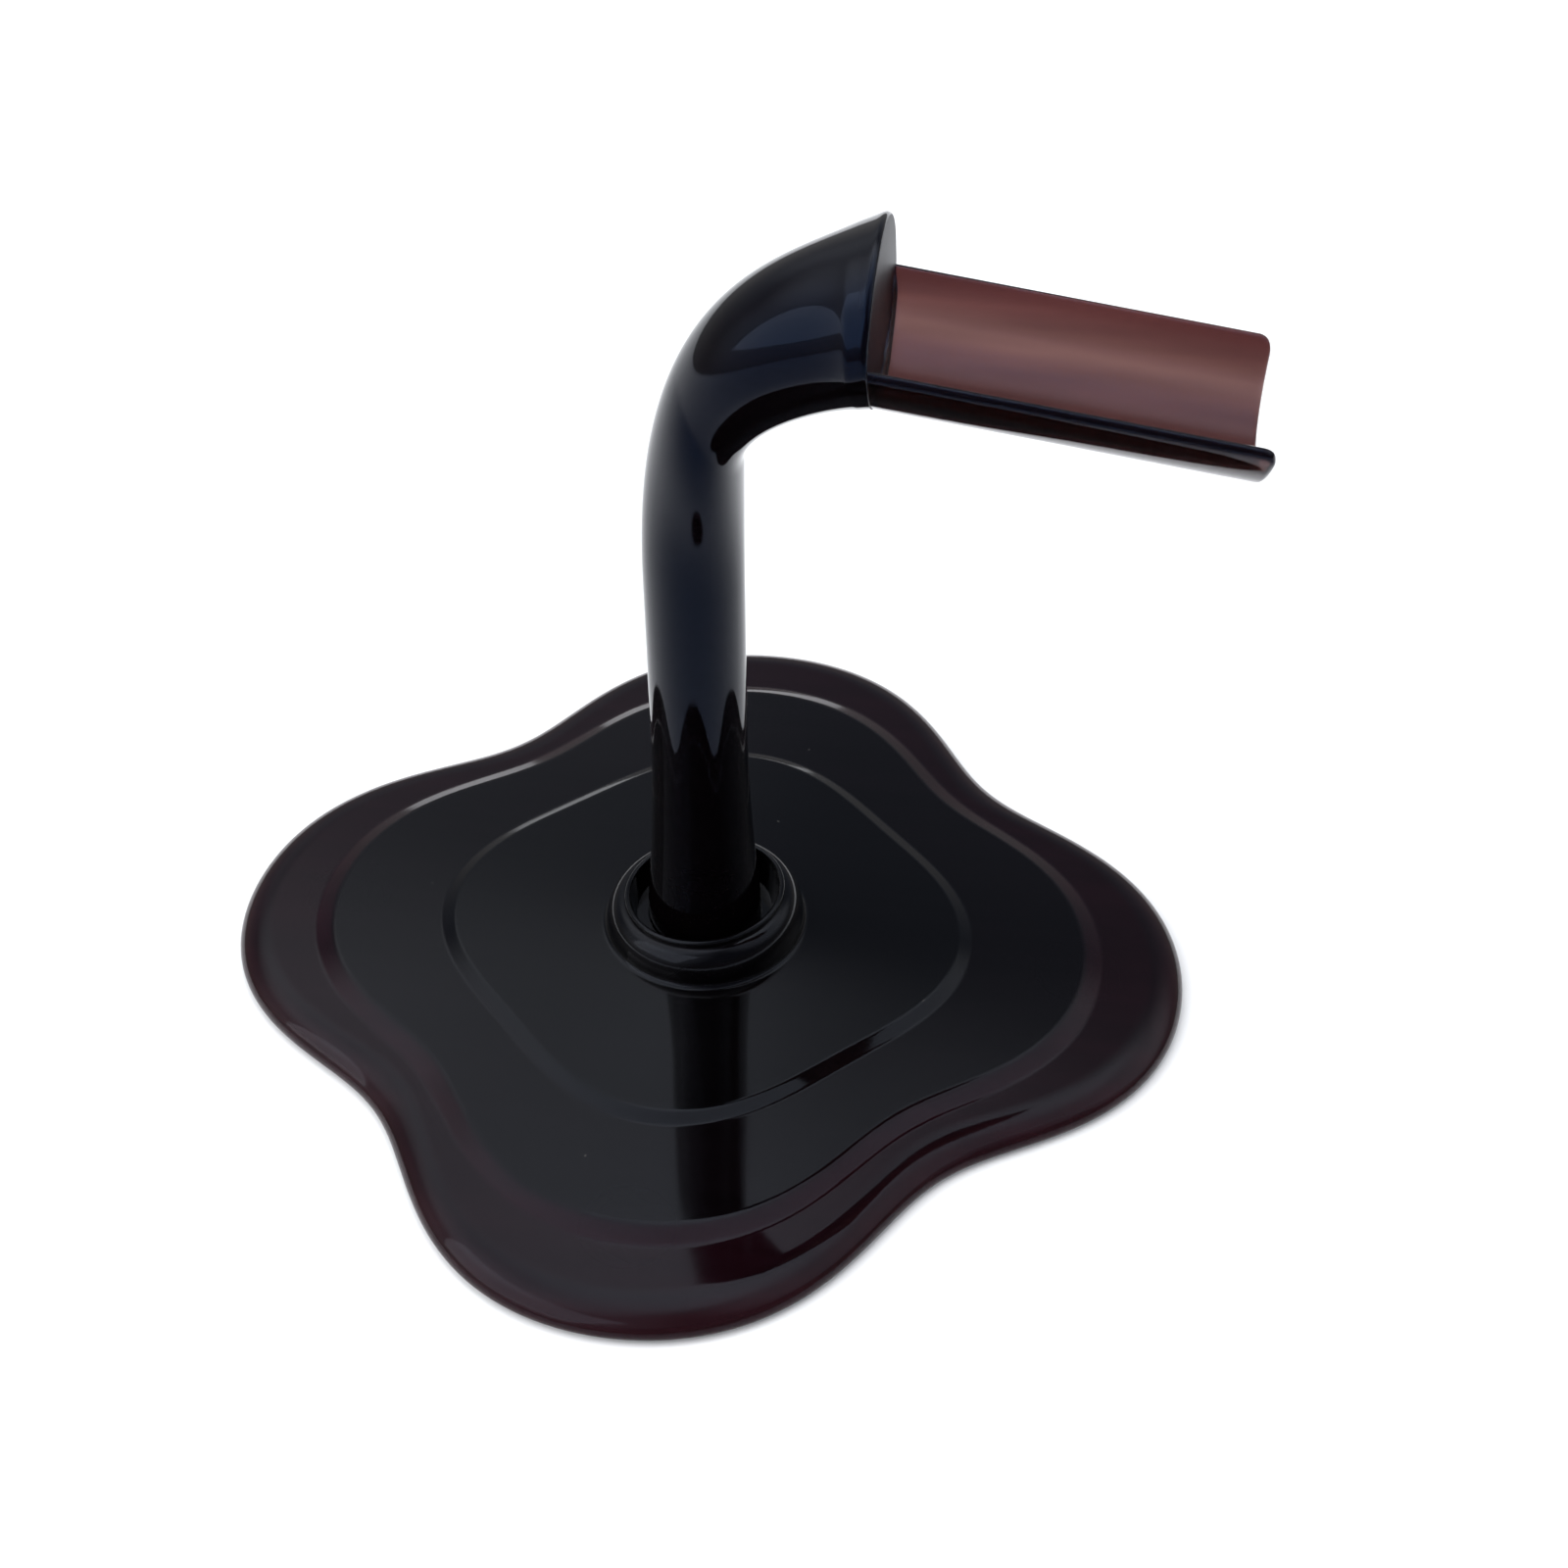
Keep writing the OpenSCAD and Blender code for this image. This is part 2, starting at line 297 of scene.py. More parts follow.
def base_rings():
    """The base's skin, from its lower edge over the top, down the well and back underneath."""
    middle_z = UNDERSIDE_Z + EDGE_R
    edge = [skin_ring(OUTER, -EDGE_R * (1 - math.cos(t)), middle_z + EDGE_R * math.sin(t))
            for t in arc(5, -90, 0)]
    rise = TERRACE_Z[0] - middle_z
    shoulder = [skin_ring(OUTER, -SHOULDER_RUN * (1 - math.cos(t)), middle_z + rise * math.sin(t))
                for t in arc(18)[1:]]
    inside = [round_ring(WELL_R, WELL_Z), round_ring(SEAT_R, WELL_Z), round_ring(SEAT_R, SEAT_Z),
              round_ring(SCREW_HOLE_R, SEAT_Z), round_ring(SCREW_HOLE_R, SCREW_WELL_Z),
              round_ring(SCREW_WELL_R, SCREW_WELL_Z), round_ring(SCREW_WELL_R, UNDERSIDE_Z)]
    return (edge + shoulder + step_rings(MIDDLE, MIDDLE_RUN, TERRACE_Z[0], TERRACE_Z[1])
            + step_rings(INNER, INNER_RUN, TERRACE_Z[1], TERRACE_Z[2]) + collar_rings() + inside)


def box_tool(name, x_half, y_half, low, high, turn):
    bm = bmesh.new()
    bmesh.ops.create_cube(bm, size=1)
    shape = Matrix.Translation((0, 0, (low + high) / 2)) @ Matrix.Rotation(turn, 4, "Z")
    shape = shape @ Matrix.Diagonal((2 * x_half, 2 * y_half, high - low, 1))
    bmesh.ops.transform(bm, matrix=shape, verts=bm.verts)
    return as_object(name, bm)


def lobe_places():
    return [(FOOT_PAD_AT * math.cos(t), FOOT_PAD_AT * math.sin(t)) for t in arc(4, 0, 360)[:4]]


def underside_hollow(shape, ceiling):
    """The space under the base, less the middle boss, the ribs and the bosses round the feet."""
    below, past = UNDERSIDE_Z - 2 * PAST, ceiling + PAST
    sides = 144
    rings = [skin_ring(shape, -HOLLOW_GAP, UNDERSIDE_Z - PAST, sides=sides),
             skin_ring(shape, -HOLLOW_GAP, ceiling, sides=sides)]
    hollow = as_object("hollow", stack(rings, cap_first=True, cap_last=True))
    cut(hollow, cylinder("boss", BOSS_R, below, past))
    for place in lobe_places():
        cut(hollow, cylinder("foot_boss", FOOT_PAD_R + FOOT_PAD_WALL, below, past, at=place, sides=64))
    for turn in (45, 135):
        cut(hollow, box_tool("rib", TIP_R, RIB_W / 2, below, past, math.radians(turn)))
    return hollow


def make_base(material):
    base = as_object("base", stack(base_rings(), closed=True))
    cut(base, underside_hollow(MIDDLE, TERRACE_Z[1] - BASE_WALL))
    cut(base, underside_hollow(INNER, TERRACE_Z[2] - BASE_WALL))
    cut(base, cylinder("boss_face", BOSS_R + BOSS_GAP, -PAST, BOSS_Z))
    seat_r = FOOT_PAD_R + FOOT_PAD_CLEAR
    for place in lobe_places():
        cut(base, cylinder("foot_seat", seat_r, -PAST, FOOT_PAD_TOP, at=place, sides=64))
    bm = taken_as_bmesh(base)
    bmesh.ops.remove_doubles(bm, verts=bm.verts, dist=TINY)
    return new_piece("base", bm, material, ["base_shell"])


# ---------------------------------------------------------------- the arm

SLICE_SIDES = 120
SLICE_ANGLES = [2 * math.pi * i / SLICE_SIDES for i in range(SLICE_SIDES)]
ALONG = Vector((math.cos(SLOPE), -math.sin(SLOPE)))
UPWARD = Vector((math.sin(SLOPE), math.cos(SLOPE)))
TIP = Vector((HORN_X, HORN_Z + HORN_H / 2))
CHIN = Vector((HORN_X, HORN_Z - HORN_H / 2))

OUTER_BEND_Z = 47.6
OUTER_REACH = 29.8
TIP_REACH = 10.3
TIP_RISE = math.radians(27.5)
INNER_BEND_Z = 59.8
INNER_REACH = 5.6
CHIN_REACH = 0.8
FRONT_LAG = 0.36
HORN_ARC_R = CRADLE_R + HORN_SKIN
ROUND_BELLY = 0.5
HORN_BELLY = 0.46
HORN_LIP = 1.0
WIDENING = 2.2

# Rounding of the face's edge: full above the cradle's joint, and almost none along it.
HORN_EDGE_R = 0.7
JOIN_EDGE = 0.1
JOIN_TOP = 6.0
JOIN_FADE = 3.0


def bezier(points, t):
    a, b, c, d = points
    return (1 - t) ** 3 * a + 3 * (1 - t) ** 2 * t * b + 3 * (1 - t) * t * t * c + t ** 3 * d


BACK = (Vector((-POST_R, OUTER_BEND_Z)), Vector((-POST_R, OUTER_BEND_Z + OUTER_REACH)),
        TIP - TIP_REACH * Vector((math.cos(TIP_RISE), math.sin(TIP_RISE))), TIP)
FRONT = (Vector((POST_R, INNER_BEND_Z)), Vector((POST_R, INNER_BEND_Z + INNER_REACH)),
         CHIN - CHIN_REACH * ALONG, CHIN)


def front_at(t):
    """The front of the arm follows the straight post until its own, tighter bend begins."""
    if t < FRONT_LAG:
        return Vector((POST_R, OUTER_BEND_Z + (INNER_BEND_Z - OUTER_BEND_Z) * t / FRONT_LAG))
    return bezier(FRONT, (t - FRONT_LAG) / (1 - FRONT_LAG))


def oval_point(back, front, arc_r, belly, a):
    """A point of an oval across the arm, which passes through two points of its outline.

    From its front it follows a circle of radius arc_r up to its widest, at belly of its
    height; from there to its back it is half an ellipse. The back is at angle 0.
    """
    height = (back - front).length
    rise = (back - front) / height
    low = belly * height
    if math.cos(a) > 1e-9:
        half_width = math.sqrt(arc_r ** 2 - (arc_r - low) ** 2)
        up, out = low + (height - low) * math.cos(a), half_width * math.sin(a)
    else:
        b = math.acos((arc_r - low) / arc_r) * abs(a - math.pi) / (math.pi / 2)
        up, out = arc_r * (1 - math.cos(b)), arc_r * math.copysign(math.sin(b), math.pi - a)
    place = front + rise * up
    return Vector((place.x, -out, place.y))


def bend_point(t, a):
    """Towards the horn's face the underside becomes as round as the cradle."""
    back, front = bezier(BACK, t), front_at(t)
    height = (back - front).length
    grown = max(0.0, (height - 2 * POST_R) / (HORN_H - HORN_LIP - 2 * POST_R))
    growth = min(1.0, grown) ** WIDENING
    arc_r = POST_R + (HORN_ARC_R - POST_R) * growth
    return oval_point(back, front, arc_r, ROUND_BELLY + (HORN_BELLY - ROUND_BELLY) * growth, a)


def edge_radius(a):
    """The face's edge is rounded above the cradle, and nearly sharp where the cradle joins."""
    above = (bend_point(1.0, a).z - CHIN.y - JOIN_TOP) / JOIN_FADE
    return HORN_EDGE_R * min(1.0, max(JOIN_EDGE, above))


def reach_before_edge(a):
    """How far along the bend the outline runs before the rounded edge of the face begins."""
    radius = edge_radius(a)
    low, high = 0.5, 1.0
    for _ in range(30):
        middle = (low + high) / 2
        if HORN_X - bend_point(middle, a).x > radius:
            low = middle
        else:
            high = middle
    return low


def face_edge_rings(before):
    """The rounded edge from the horn's sides to its flat face."""
    outline = [bend_point(1.0, a) for a in SLICE_ANGLES]
    normal = Vector((1, 0, 0))
    inward = []
    for i in range(SLICE_SIDES):
        tangent = outline[(i + 1) % SLICE_SIDES] - outline[i - 1]
        inward.append(normal.cross(tangent).normalized())
    middle = sum(outline, Vector()) / SLICE_SIDES
    if inward[0].dot(middle - outline[0]) < 0:
        inward = [-direction for direction in inward]
    rings = []
    for t in arc(6)[1:]:
        rings.append([start.lerp(end, math.sin(t)) + direction * edge_radius(a) * (1 - math.cos(t))
                      for a, start, end, direction in zip(SLICE_ANGLES, before, outline, inward)])
    return rings


def post_ring(radius, z):
    back, front = Vector((-radius, z)), Vector((radius, z))
    return [oval_point(back, front, radius, ROUND_BELLY, a) for a in SLICE_ANGLES]


def arm_rings():
    flare_cuts, bend_cuts, edge = 24, 110, 0.3
    rings = [post_ring(FOOT_R - edge * (1 - math.sin(t)), SEAT_Z + edge * (1 - math.cos(t)))
             for t in arc(4)]
    for i in range(flare_cuts):
        t = i / flare_cuts
        radius = POST_R + (FOOT_R - POST_R) * (1 - t) ** FLARE_POWER
        rings.append(post_ring(radius, STUB_Z + (FLARE_TOP - STUB_Z) * t))
    reaches = [reach_before_edge(a) for a in SLICE_ANGLES]
    for i in range(bend_cuts + 1):
        rings.append([bend_point(reach * i / bend_cuts, a) for reach, a in zip(reaches, SLICE_ANGLES)])
    return rings + face_edge_rings(rings[-1])


def make_arm(material):
    bm = stack(arm_rings(), cap_first=True, cap_last=True)
    return new_piece("bent_arm", bm, material, ["arm"])


# ---------------------------------------------------------------- the cradle

CRADLE_SINK = 1.2
CRADLE_FILLET = 0.8
FILLET_BACK = 0.9
FILLET_FADE = 0.22
CORNER_R = 1.3


def fillet_gain(x, a):
    """How much the wall has grown towards the horn's upright face, x along the cradle.

    The face leans back from the cradle's square end, so the fillet lies further back
    at the height of angle a.
    """
    x += CRADLE_R * (1 - math.cos(a)) * math.tan(SLOPE)
    if x >= CRADLE_FILLET:
        return 0.0
    x = max(x, 0.0)
    return CRADLE_FILLET - math.sqrt(CRADLE_FILLET ** 2 - (CRADLE_FILLET - x) ** 2)


def eased(value, full):
    """Rises smoothly from 0 to 1 as the value goes from 0 to full."""
    t = min(1.0, max(0.0, value / full))
    return t * t * (3 - 2 * t)


def cradle_loop(x):
    """One cross-section of the half-pipe, x along it, in the cradle's own frame."""
    from_end = CRADLE_L - x
    half_wall = CRADLE_WALL / 2
    middle_r = CRADLE_R - half_wall
    if from_end < half_wall:
        half_wall = math.sqrt(max(half_wall ** 2 - (half_wall - from_end) ** 2, 1e-8))
    outer_r, inner_r = middle_r + half_wall, middle_r - half_wall
    rim_angle = math.acos(RIM_DROP / middle_r)
    cut_back = 0.0
    if from_end < CORNER_R:
        cut_back = CORNER_R - math.sqrt(CORNER_R ** 2 - (CORNER_R - from_end) ** 2)
    rim_angle -= cut_back / middle_r
    points = []
    arc_cuts, rim_cuts = 72, 10
    for i in range(arc_cuts + 1):
        a = -rim_angle + 2 * rim_angle * i / arc_cuts
        points.append((outer_r * math.sin(a), -outer_r * math.cos(a)))
    points += rim_points(outer_r, inner_r, rim_angle, 1, rim_cuts)
    for i in range(arc_cuts + 1):
        a = rim_angle - 2 * rim_angle * i / arc_cuts
        reach = inner_r - fillet_gain(x, a) * eased(rim_angle - abs(a), FILLET_FADE)
        points.append((reach * math.sin(a), -reach * math.cos(a)))
    points += rim_points(outer_r, inner_r, rim_angle, -1, rim_cuts)
    return [(x, y, z) for y, z in points]


def rim_points(outer_r, inner_r, rim_angle, side, cuts):
    """The half-round top of one rim, between its outer and inner corners."""
    middle_r, half = (outer_r + inner_r) / 2, (outer_r - inner_r) / 2
    outward = Vector((side * math.sin(rim_angle), -math.cos(rim_angle)))
    upward = Vector((side * math.cos(rim_angle), math.sin(rim_angle)))
    turns = arc(cuts, 0, 180)[1:-1]
    if side < 0:
        turns.reverse()
    return [outward * (middle_r + half * math.cos(t)) + upward * half * math.sin(t) for t in turns]


def cradle_stations():
    """Places along the cradle: close together in the fillet and towards the free end."""
    corner_x = CRADLE_L - CORNER_R
    fillet = [-FILLET_BACK + (CRADLE_FILLET + FILLET_BACK) * i / 20 for i in range(21)]
    straight = [CRADLE_FILLET + (corner_x - CRADLE_FILLET) * i / 24 for i in range(1, 25)]
    corner = [corner_x + CORNER_R * math.sin(t) for t in arc(28)[1:-1]]
    return [-CRADLE_SINK] + fillet + straight + corner + [CRADLE_L - TINY]


def make_cradle(material):
    bm = stack([cradle_loop(x) for x in cradle_stations()], cap_first=True, cap_last=True)
    axis = CHIN + UPWARD * (CRADLE_R + HORN_SKIN)
    place = Matrix.Translation((axis.x, 0, axis.y)) @ Matrix.Rotation(SLOPE, 4, "Y")
    bmesh.ops.transform(bm, matrix=place, verts=bm.verts)
    return new_piece("cradle", bm, material, ["arm"])


# ---------------------------------------------------------------- materials

def node_material(name):
    material = bpy.data.materials.new(name)
    material.use_nodes = True
    tree = material.node_tree
    return material, tree, tree.nodes["Principled BSDF"], tree.nodes["Material Output"]


def add_node(tree, kind, **inputs):
    node = tree.nodes.new(kind)
    for key, value in inputs.items():
        node.inputs[key.replace("_", " ")].default_value = value
    return node


def ramp(tree, source, low, high, low_value=0.0, high_value=1.0):
    """Maps a value between low and high onto another range, and holds it there."""
    node = tree.nodes.new("ShaderNodeMapRange")
    node.inputs["From Min"].default_value = low
    node.inputs["From Max"].default_value = high
    node.inputs["To Min"].default_value = low_value
    node.inputs["To Max"].default_value = high_value
    tree.links.new(source, node.inputs["Value"])
    return node.outputs["Result"]


def height_colour_and_painted_light(tree, place, tints, up):
    """Colour by height along up, the plastic's own tone or painted light: tints are pairs of a height in
    mm and a colour.
    """
    along_up = tree.nodes.new("ShaderNodeVectorMath")
    along_up.operation = "DOT_PRODUCT"
    along_up.inputs[1].default_value = up
    tree.links.new(place, along_up.inputs[0])
    lowest, highest = tints[0][0], tints[-1][0]
    height = ramp(tree, along_up.outputs["Value"], lowest * MM, highest * MM)
    blend = tree.nodes.new("ShaderNodeValToRGB")
    stops = blend.color_ramp.elements
    for index, (z, tint) in enumerate(tints):
        position = (z - lowest) / (highest - lowest)
        stop = stops[index] if index < 2 else stops.new(position)
        stop.position, stop.color = position, (*tint, 1)
    tree.links.new(height, blend.inputs["Fac"])
    return blend.outputs["Color"]


MATT_BLEND = 0.08
MATT_ROUGHNESS = 0.45


def matt_beyond(tree, place, x, polished):
    """The plastic's roughness where the surface is matt beyond x, in mm."""
    split = tree.nodes.new("ShaderNodeSeparateXYZ")
    tree.links.new(place, split.inputs["Vector"])
    matt = ramp(tree, split.outputs["X"], (x - MATT_BLEND) * MM, x * MM, 0.0, MATT_ROUGHNESS)
    rougher = tree.nodes.new("ShaderNodeMath")
    rougher.operation = "MAXIMUM"
    tree.links.new(matt, rougher.inputs[0])
    tree.links.new(polished, rougher.inputs[1])
    return rougher.outputs[0]


def streaked(tree, place, colour):
    """Faint flow marks that run along the cradle."""
    drawn_out = tree.nodes.new("ShaderNodeVectorMath")
    drawn_out.operation = "MULTIPLY"
    drawn_out.inputs[1].default_value = (0.1, 1, 1)
    tree.links.new(place, drawn_out.inputs[0])
    marks = add_node(tree, "ShaderNodeTexNoise", Scale=350.0, Detail=2.0)
    tree.links.new(drawn_out.outputs["Vector"], marks.inputs["Vector"])
    scaled = tree.nodes.new("ShaderNodeVectorMath")
    scaled.operation = "SCALE"
    tree.links.new(colour, scaled.inputs[0])
    tree.links.new(ramp(tree, marks.outputs["Fac"], 0.3, 0.7, 0.82, 1.2), scaled.inputs["Scale"])
    return scaled.outputs["Vector"]


def ruby_plastic(name, tints, dust, sheen, haze, absorb, up=(0, 0, 1), matt_from=None):
    """Dark red see-through plastic: polished, with faint sink waves, smudges and dust.

    sheen tints its reflection, haze is the share of light that it scatters itself, and
    absorb is how strongly it takes up red, green and blue, per mm.
    """
    material, tree, shader, output = node_material(name)
    links = tree.links
    place = tree.nodes.new("ShaderNodeTexCoord").outputs["Object"]

    shader.inputs["IOR"].default_value = 1.49
    shader.inputs["Transmission Weight"].default_value = 1 - haze
    shader.inputs["Specular Tint"].default_value = (*sheen, 1)

    specks = add_node(tree, "ShaderNodeTexVoronoi", Scale=420.0, Randomness=1.0)
    links.new(place, specks.inputs["Vector"])
    speck = ramp(tree, specks.outputs["Distance"], 0.075, 0.045)
    rare = add_node(tree, "ShaderNodeTexNoise", Scale=260.0, Detail=1.0)
    links.new(place, rare.inputs["Vector"])
    chosen = ramp(tree, rare.outputs["Fac"], 0.66, 0.7)
    mask = tree.nodes.new("ShaderNodeMath")
    mask.operation = "MULTIPLY"
    links.new(speck, mask.inputs[0])
    links.new(chosen, mask.inputs[1])

    colour = tree.nodes.new("ShaderNodeMix")
    colour.data_type = "RGBA"
    # Colour by height: painted light and shade for the base and the cradle, the plastic's own near-black
    # tone for the arm.
    links.new(streaked(tree, place, height_colour_and_painted_light(tree, place, tints, up)), colour.inputs["A"])
    colour.inputs["B"].default_value = (*dust, 1)
    links.new(mask.outputs[0], colour.inputs["Factor"])
    links.new(colour.outputs["Result"], shader.inputs["Base Color"])

    smudge = add_node(tree, "ShaderNodeTexNoise", Scale=45.0, Detail=4.0, Roughness=0.6)
    links.new(place, smudge.inputs["Vector"])
    roughness = ramp(tree, smudge.outputs["Fac"], 0.35, 0.75, 0.03, 0.09)
    if matt_from is not None:
        roughness = matt_beyond(tree, place, matt_from, roughness)
    links.new(roughness, shader.inputs["Roughness"])

    wave = add_node(tree, "ShaderNodeTexNoise", Scale=28.0, Detail=1.0)
    links.new(place, wave.inputs["Vector"])
    sink = add_node(tree, "ShaderNodeBump", Strength=0.25, Distance=0.0004)
    links.new(wave.outputs["Fac"], sink.inputs["Height"])
    links.new(sink.outputs["Normal"], shader.inputs["Normal"])

    volume = tree.nodes.new("ShaderNodeVolumeAbsorption")
    strongest = max(absorb)
    volume.inputs["Color"].default_value = (*[1 - a / strongest for a in absorb], 1)
    volume.inputs["Density"].default_value = strongest / MM
    links.new(volume.outputs["Volume"], output.inputs["Volume"])
    return material


def metal(name, colour, roughness):
    material, tree, shader, _ = node_material(name)
    place = tree.nodes.new("ShaderNodeTexCoord").outputs["Object"]
    shader.inputs["Metallic"].default_value = 1.0
    grain = add_node(tree, "ShaderNodeTexNoise", Scale=900.0, Detail=3.0)
    tree.links.new(place, grain.inputs["Vector"])
    tree.links.new(ramp(tree, grain.outputs["Fac"], 0.3, 0.7, roughness * 0.7, roughness * 1.4),
                   shader.inputs["Roughness"])
    stain = add_node(tree, "ShaderNodeTexNoise", Scale=300.0, Detail=2.0)
    tree.links.new(place, stain.inputs["Vector"])
    tone = tree.nodes.new("ShaderNodeMix")
    tone.data_type = "RGBA"
    tone.inputs["A"].default_value = (*colour, 1)
    tone.inputs["B"].default_value = (*[c * 0.7 for c in colour], 1)
    tree.links.new(ramp(tree, stain.outputs["Fac"], 0.4, 0.8), tone.inputs["Factor"])
    tree.links.new(tone.outputs["Result"], shader.inputs["Base Color"])
    return material


def rubber(name):
    material, tree, shader, _ = node_material(name)
    place = tree.nodes.new("ShaderNodeTexCoord").outputs["Object"]
    grain = add_node(tree, "ShaderNodeTexNoise", Scale=1500.0, Detail=4.0)
    tree.links.new(place, grain.inputs["Vector"])
    bump = add_node(tree, "ShaderNodeBump", Strength=0.4, Distance=0.0001)
    tree.links.new(grain.outputs["Fac"], bump.inputs["Height"])
    tree.links.new(bump.outputs["Normal"], shader.inputs["Normal"])
    tree.links.new(ramp(tree, grain.outputs["Fac"], 0.3, 0.7, 0.55, 0.8), shader.inputs["Roughness"])
    tone = tree.nodes.new("ShaderNodeMix")
    tone.data_type = "RGBA"
    tone.inputs["A"].default_value = (0.018, 0.018, 0.019, 1)
    tone.inputs["B"].default_value = (0.045, 0.044, 0.043, 1)
    tree.links.new(ramp(tree, grain.outputs["Fac"], 0.35, 0.75), tone.inputs["Factor"])
    tree.links.new(tone.outputs["Result"], shader.inputs["Base Color"])
    return material


# ---------------------------------------------------------------- floor, world and lights

FLOOR_TONE = (0.86, 0.86, 0.86)
FLOOR_HALF = 3


def make_floor():
    bm = bmesh.new()
    bmesh.ops.create_grid(bm, x_segments=1, y_segments=1, size=FLOOR_HALF)
    mesh = bpy.data.meshes.new("floor")
    bm.to_mesh(mesh)
    bm.free()
    material, tree, shader, _ = node_material("floor")
    shader.inputs["Base Color"].default_value = (*FLOOR_TONE, 1)
    shader.inputs["Roughness"].default_value = 0.9
    mesh.materials.append(material)
    floor = bpy.data.objects.new("floor", mesh)
    bpy.context.scene.collection.objects.link(floor)


# Luminance of the room near the horizon and above it, and soft glows in it: azimuth from
# +Y towards +X, elevation, inner and outer radius in degrees, and strength.
HORIZON_LIGHT = (0.28, 0.28, 0.29)
BACKDROP_LIGHT = (0.96, 0.96, 0.96)
ROOM_LIGHT = (0.26, 0.29, 0.35)
SKY_PATCHES = [(-128, 40, 8, 56, 0.95), (-62, 68, 4, 40, 1.9), (80, 52, 8, 44, 1.4), (15, 72, 2, 30, 1.1),
               (-32, 38, 2, 22, 0.2)]


def make_world():
    """A dim, cool room with broad soft brightness to both sides, behind a pale backdrop.

    The plastic mirrors the room, and the camera sees the backdrop, as with a cut-out photo.
    """
    world = bpy.data.worlds.new("studio")
    bpy.context.scene.world = world
    world.use_nodes = True
    tree = world.node_tree
    background = tree.nodes["Background"]
    place = tree.nodes.new("ShaderNodeTexCoord").outputs["Generated"]
    split = tree.nodes.new("ShaderNodeSeparateXYZ")
    tree.links.new(place, split.inputs["Vector"])
    room = tree.nodes.new("ShaderNodeValToRGB")
    room.color_ramp.interpolation = "EASE"
    first, last = room.color_ramp.elements
    first.position, first.color = 0.1, (*HORIZON_LIGHT, 1)
    last.position, last.color = 0.5, (*ROOM_LIGHT, 1)
    tree.links.new(split.outputs["Z"], room.inputs["Fac"])
    total = room.outputs["Color"]
    for azimuth, elevation, inner, outer, strength in SKY_PATCHES:
        patch = sky_patch(tree, place, azimuth, elevation, inner, outer, strength)
        add = tree.nodes.new("ShaderNodeVectorMath")
        add.operation = "ADD"
        tree.links.new(total, add.inputs[0])
        tree.links.new(patch, add.inputs[1])
        total = add.outputs["Vector"]
    seen = tree.nodes.new("ShaderNodeMix")
    seen.data_type = "RGBA"
    seen.inputs["B"].default_value = (*BACKDROP_LIGHT, 1)
    tree.links.new(total, seen.inputs["A"])
    tree.links.new(tree.nodes.new("ShaderNodeLightPath").outputs["Is Camera Ray"], seen.inputs["Factor"])
    tree.links.new(seen.outputs["Result"], background.inputs["Color"])


def sky_patch(tree, place, azimuth, elevation, inner, outer, strength):
    """A soft round glow: full within inner degrees of its middle, gone at outer degrees."""
    turn, lift = math.radians(azimuth), math.radians(elevation)
    towards = (math.cos(lift) * math.sin(turn), math.cos(lift) * math.cos(turn), math.sin(lift))
    dot = tree.nodes.new("ShaderNodeVectorMath")
    dot.operation = "DOT_PRODUCT"
    dot.inputs[1].default_value = towards
    tree.links.new(place, dot.inputs[0])
    glow = tree.nodes.new("ShaderNodeMapRange")
    glow.interpolation_type = "SMOOTHERSTEP"
    glow.inputs["From Min"].default_value = math.cos(math.radians(outer))
    glow.inputs["From Max"].default_value = math.cos(math.radians(inner))
    glow.inputs["To Max"].default_value = strength
    tree.links.new(dot.outputs["Value"], glow.inputs["Value"])
    return glow.outputs["Result"]


WINDOW_AT = (-0.9, -0.75, 0.95)
WINDOW_SIZE = (1.6, 1.2)
WINDOW_POWER = 12


def softbox(name, at, looks_at, size, power):
    data = bpy.data.lights.new(name, "AREA")
    data.shape = "RECTANGLE"
    data.size, data.size_y = size
    data.energy = power
    light = bpy.data.objects.new(name, data)
    light.location = at
    light.rotation_euler = (Vector(looks_at) - Vector(at)).to_track_quat("-Z", "Y").to_euler()
    bpy.context.scene.collection.objects.link(light)


def make_lights():
    middle = (0.0, 0.0, 0.02)
    softbox("window", WINDOW_AT, middle, WINDOW_SIZE, WINDOW_POWER)


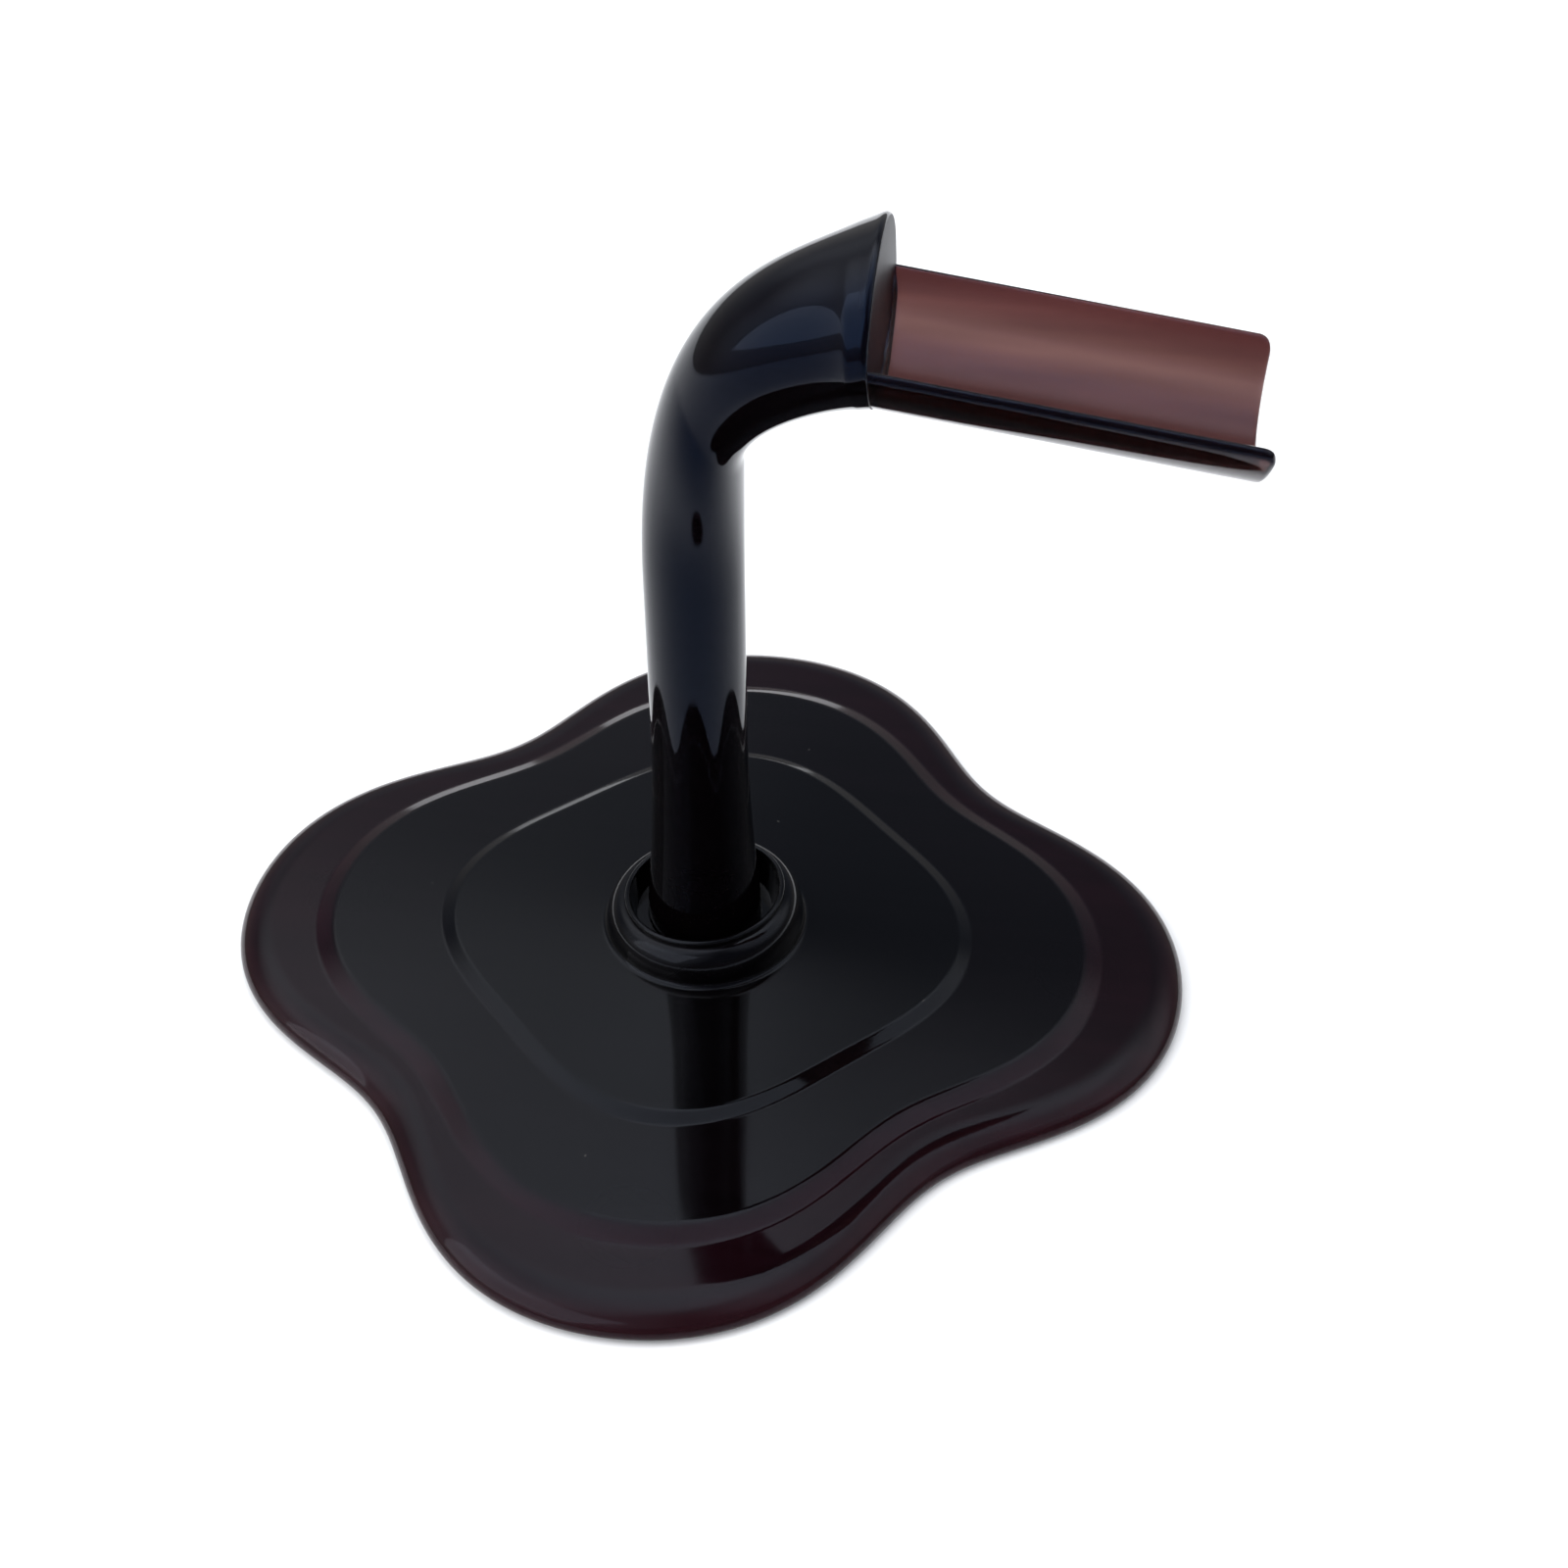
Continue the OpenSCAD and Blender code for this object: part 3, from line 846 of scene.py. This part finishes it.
# ---------------------------------------------------------------- putting it together

make_camera()
make_floor()
make_world()
make_lights()

bpy.context.scene.view_settings.view_transform = "Standard"

DUST = (0.55, 0.53, 0.5)

# The plastic's colours by height in mm, the cradle's along its own upward direction; the base's and the
# cradle's paint light and shade.
# Painted light: the base is redder at its thin edge and on its first step's slope, and near black on the
# terrace tops. This is a painted glow of light shining through the thin plastic.
BASE_PAINTED_GLOW = [(0.9, (0.13, 0.03, 0.042)), (2.4, (0.10, 0.024, 0.034)), (2.95, (0.035, 0.012, 0.019)),
              (3.1, (0.075, 0.014, 0.028)), (3.6, (0.06, 0.012, 0.024)), (3.8, (0.012, 0.007, 0.010)),
              (4.4, (0.008, 0.006, 0.008))]
ARM_TINTS = [(10.0, (0.01, 0.006, 0.008)), (70.0, (0.015, 0.008, 0.011))]
# Painted light: the cradle is lighter part way up its walls, which is a painted reflection. It is darker
# at its bottom and towards its rim, which is painted shade.
CRADLE_PAINTED_LIGHT = [(70.6, (0.29, 0.14, 0.125)), (71.3, (0.42, 0.25, 0.235)), (72.6, (0.60, 0.44, 0.415)),
                (74.2, (0.41, 0.235, 0.22)), (75.8, (0.28, 0.125, 0.12))]

# The tint of the plastic's reflection, and how deep the matt face's roughness reaches.
BASE_SHEEN = (0.17, 0.19, 0.23)
ARM_SHEEN = (0.05, 0.10, 0.22)
FACE_SKIN = 0.02
base_ruby = ruby_plastic("ruby_base", BASE_PAINTED_GLOW, DUST, BASE_SHEEN, 0.1, (3.0, 4.5, 4.5))
arm_ruby = ruby_plastic("ruby_arm", ARM_TINTS, DUST, ARM_SHEEN, 0.1, (3.0, 4.5, 4.5),
                        matt_from=HORN_X - FACE_SKIN)
cradle_ruby = ruby_plastic("ruby_cradle", CRADLE_PAINTED_LIGHT, DUST, ARM_SHEEN, 0.01, (1.45, 1.8, 1.85),
                           up=(UPWARD.x, 0, UPWARD.y))

make_base(base_ruby)
make_arm(arm_ruby)
make_cradle(cradle_ruby)

steel = metal("steel", (0.6, 0.6, 0.62), 0.25)
brass = metal("brass", (0.75, 0.56, 0.26), 0.22)
dark_rubber = rubber("rubber")
finishes = {"fixing_screw": steel, "washer": steel, "thread_insert": brass}
for name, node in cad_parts.items():
    if name in finishes or name.startswith("foot_"):
        node.data.materials.clear()
        node.data.materials.append(finishes.get(name, dark_rubber))
